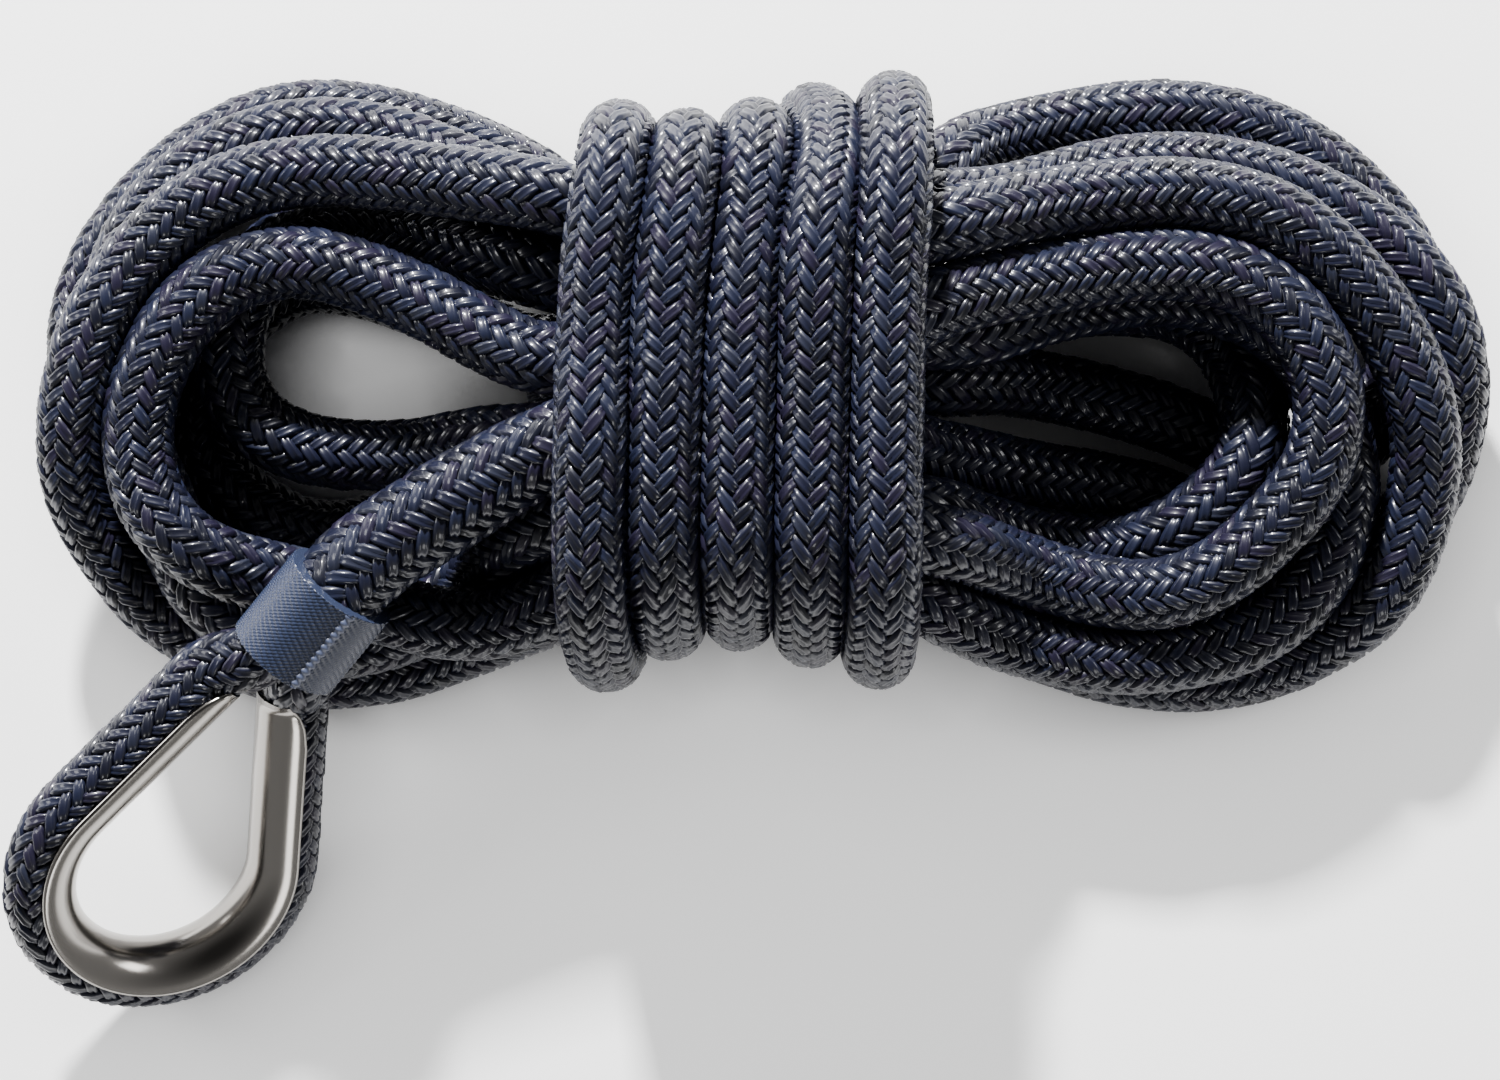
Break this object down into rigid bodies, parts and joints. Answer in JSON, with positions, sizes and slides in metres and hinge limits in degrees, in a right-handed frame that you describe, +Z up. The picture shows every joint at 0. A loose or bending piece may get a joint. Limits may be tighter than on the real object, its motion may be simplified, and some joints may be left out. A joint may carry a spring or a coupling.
{
  "type": "coiled dock line",
  "caption": "Braided mooring line laid up as a flat hank with tight wraps round its waist, its end spliced into an eye round a steel heart thimble.",
  "frame": {"origin": "on the underside of the middle wrap, at the middle of the hank's waist, where the hank rests", "axes": "+X along the hank towards the loops away from the eye, +Z up from the surface it rests on, +Y across the hank away from the eye"},
  "size_m": [0.2773, 0.1733, 0.0654],
  "materials": {
    "rope": "woven polyester braid, navy",
    "steel": "polished stainless steel",
    "tape": "woven blue-grey tape",
    "core": "white braided core",
    "twine": "waxed whipping twine"
  },
  "bodies": {
    "root": {"turn_1": "rope", "turn_2": "rope", "turn_3": "rope", "turn_4": "rope", "turn_5": "rope", "turn_6": "rope", "wrap_1": "rope", "wrap_2": "rope", "wrap_3": "rope", "wrap_4": "rope", "wrap_5": "rope", "splice": "rope", "standing_part": "rope", "eye_rope": "rope", "thimble": "steel", "throat_tape": "tape", "end_cover": "rope", "end_core": "core", "end_whipping": "twine"}
  },
  "joints": []
}
